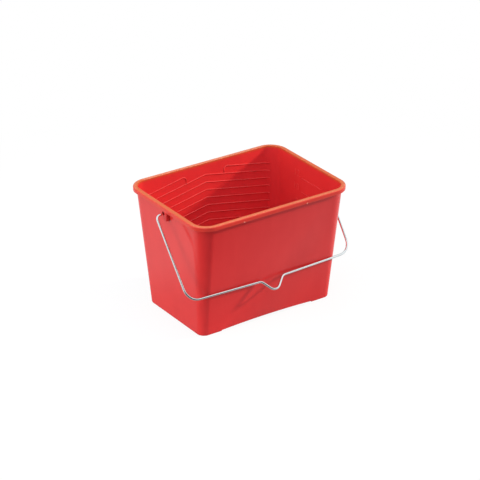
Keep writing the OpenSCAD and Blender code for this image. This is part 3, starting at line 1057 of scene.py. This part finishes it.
def pale_floor(near, far, seen_colour):
    """Floor that looks white, with the object's shadow softened on it, and that gives back less
    light farther off. In mirrors it darkens towards the front, and close round the tub."""
    material = bpy.data.materials.new("Pale floor")
    nodes = empty_tree(material)
    camera_ray = nodes.add("ShaderNodeLightPath").outputs["Is Camera Ray"]
    place = nodes.add("ShaderNodeTexCoord").outputs["Object"]
    # Distance from the tub's middle, in which the way across the tub counts for more
    distance = nodes.measure("LENGTH", nodes.stretch(place, (1.0, 1.5, 0.0)))
    spread = nodes.mix_colour(nodes.span(distance, 0.22, 0.55), (*near, 1), (*far, 1))
    colour = nodes.mix_colour(camera_ray, spread, (*seen_colour, 1))
    matte = nodes.add("ShaderNodeBsdfDiffuse", Color=colour)
    forward = nodes.measure("DOT_PRODUCT", place, DARK_FLOOR)
    front = nodes.math("DIVIDE", forward, nodes.math("ADD", distance, 0.6))
    # Painted shade: mirrors see the floor darker close round the tub, where its shadow lies
    close = nodes.span(distance, 0.16, 0.40, 0.5, 1.0)
    light = nodes.math("MULTIPLY", nodes.span(front, 0.13, 0.31, 0.90, 0.06), close)
    strength = seen_rays(nodes, 1.0, light)
    white = nodes.add("ShaderNodeEmission", Color=(1, 1, 1, 1), Strength=strength)
    whitened = seen_rays(nodes, nodes.span(distance, 0.4, 1.4, 0.9, 1.0), 1.0)
    nodes.add("ShaderNodeOutputMaterial", Surface=nodes.mix_shader(whitened, matte, white))
    return material


def studio_world(scene, ambient):
    """Even light from all round, seen as plain white. In mirrors one side is dark and one grey."""
    world = bpy.data.worlds.new("Studio")
    nodes = empty_tree(world)
    light = nodes.add("ShaderNodeBackground", Color=(1, 1, 1, 1), Strength=ambient)
    white = nodes.add("ShaderNodeBackground", Color=(1, 1, 1, 1), Strength=1.0)
    way = nodes.add("ShaderNodeTexCoord").outputs["Generated"]
    dark = nodes.span(nodes.measure("DOT_PRODUCT", way, DARK_SIDE), 0.655, 0.72, 1.0, 0.03)
    grey = nodes.span(nodes.measure("DOT_PRODUCT", way, GREY_SIDE), 0.40, 0.85, 1.0, 0.45)
    whitened = seen_rays(nodes, 1.0, nodes.math("MULTIPLY", dark, grey))
    nodes.add("ShaderNodeOutputWorld", Surface=nodes.mix_shader(whitened, light, white))
    scene.world = world


def hang_lamp(scene, name, lamp, direction, distance):
    """Puts a lamp in a direction from the tub, facing it, hidden from the camera and mirrors."""
    item = bpy.data.objects.new(name, lamp)
    direction = Vector(direction).normalized()
    item.location = Vector((0, 0, TUB_HIGH.z / 2)) + direction * distance
    item.rotation_euler = direction.to_track_quat("Z", "Y").to_euler()
    item.visible_camera = False
    item.visible_glossy = False
    scene.collection.objects.link(item)


def lay_floor(scene, stage):
    """The floor under the tub."""
    bm = bmesh.new()
    bmesh.ops.create_grid(bm, x_segments=1, y_segments=1, size=FLOOR_HALF)
    mesh = bpy.data.meshes.new("floor")
    bm.to_mesh(mesh)
    bm.free()
    mesh.materials.append(pale_floor(stage.near_floor, stage.far_floor, stage.white_floor))
    floor = bpy.data.objects.new("floor", mesh)
    scene.collection.objects.link(floor)


def set_lights(scene, stage):
    """The low key light and the soft lamps."""
    key = bpy.data.lights.new("key", "SUN")
    key.energy, key.angle, key.color = stage.key, KEY_WIDTH, WARM
    hang_lamp(scene, "key", key, KEY_DIRECTION, KEY_DISTANCE)
    for name, (direction, distance, size, tint) in SOFT_LAMPS.items():
        lamp = bpy.data.lights.new(name, "AREA")
        lamp.energy, lamp.size, lamp.color = getattr(stage, name), size, tint
        hang_lamp(scene, name, lamp, direction, distance)


def place_camera(scene, lens):
    """The camera, which looks down at the tub from the front left."""
    camera = bpy.data.cameras.new("camera")
    camera.lens = lens
    camera.sensor_width = SENSOR_WIDTH
    yaw, pitch, roll = (math.radians(a) for a in CAMERA_TURN)
    level = math.cos(pitch)
    ahead = Vector((math.sin(yaw) * level, math.cos(yaw) * level, math.sin(pitch)))
    right = Vector((math.cos(yaw), -math.sin(yaw), 0))
    up = right.cross(ahead)
    across = right * math.cos(roll) + up * math.sin(roll)
    above = up * math.cos(roll) - right * math.sin(roll)
    item = bpy.data.objects.new("camera", camera)
    item.matrix_world = axes_at(CAMERA_PLACE, across, above, -ahead)
    scene.collection.objects.link(item)
    scene.camera = item


class BUCKET_OT_set_stage(bpy.types.Operator):
    """Lay the floor, set the lights and place the camera"""

    bl_idname = "bucket.set_stage"
    bl_label = "Set Stage"

    def execute(self, context):
        scene = context.scene
        stage = scene.bucket_stage
        lay_floor(scene, stage)
        studio_world(scene, stage.ambient)
        set_lights(scene, stage)
        place_camera(scene, stage.lens)
        scene.view_settings.view_transform = "Standard"
        return {"FINISHED"}


class BUCKET_PT_panel(bpy.types.Panel):
    """Sizes, finishes and building steps of the bucket"""

    bl_idname = "BUCKET_PT_panel"
    bl_label = "Wash Bucket"
    bl_space_type = "VIEW_3D"
    bl_region_type = "UI"
    bl_category = "Bucket"

    def draw(self, context):
        for operator in OPERATORS:
            self.layout.operator(operator.bl_idname)
        for name, group in SETTINGS.items():
            box = self.layout.box()
            box.label(text=group.bl_rna.description)
            for key in group.__annotations__:
                box.prop(getattr(context.scene, name), key)


OPERATORS = (BUCKET_OT_mould_tub, BUCKET_OT_bend_bail, BUCKET_OT_set_stage)
CLASSES = (*SETTINGS.values(), *OPERATORS, BUCKET_PT_panel)


def register():
    for cls in CLASSES:
        bpy.utils.register_class(cls)
    for name, group in SETTINGS.items():
        setattr(bpy.types.Scene, name, PointerProperty(type=group))


def unregister():
    for name in SETTINGS:
        delattr(bpy.types.Scene, name)
    for cls in reversed(CLASSES):
        bpy.utils.unregister_class(cls)


def main():
    register()
    bpy.ops.bucket.mould_tub()
    bpy.ops.bucket.bend_bail()
    bpy.ops.bucket.set_stage()


if __name__ == "__main__":
    main()
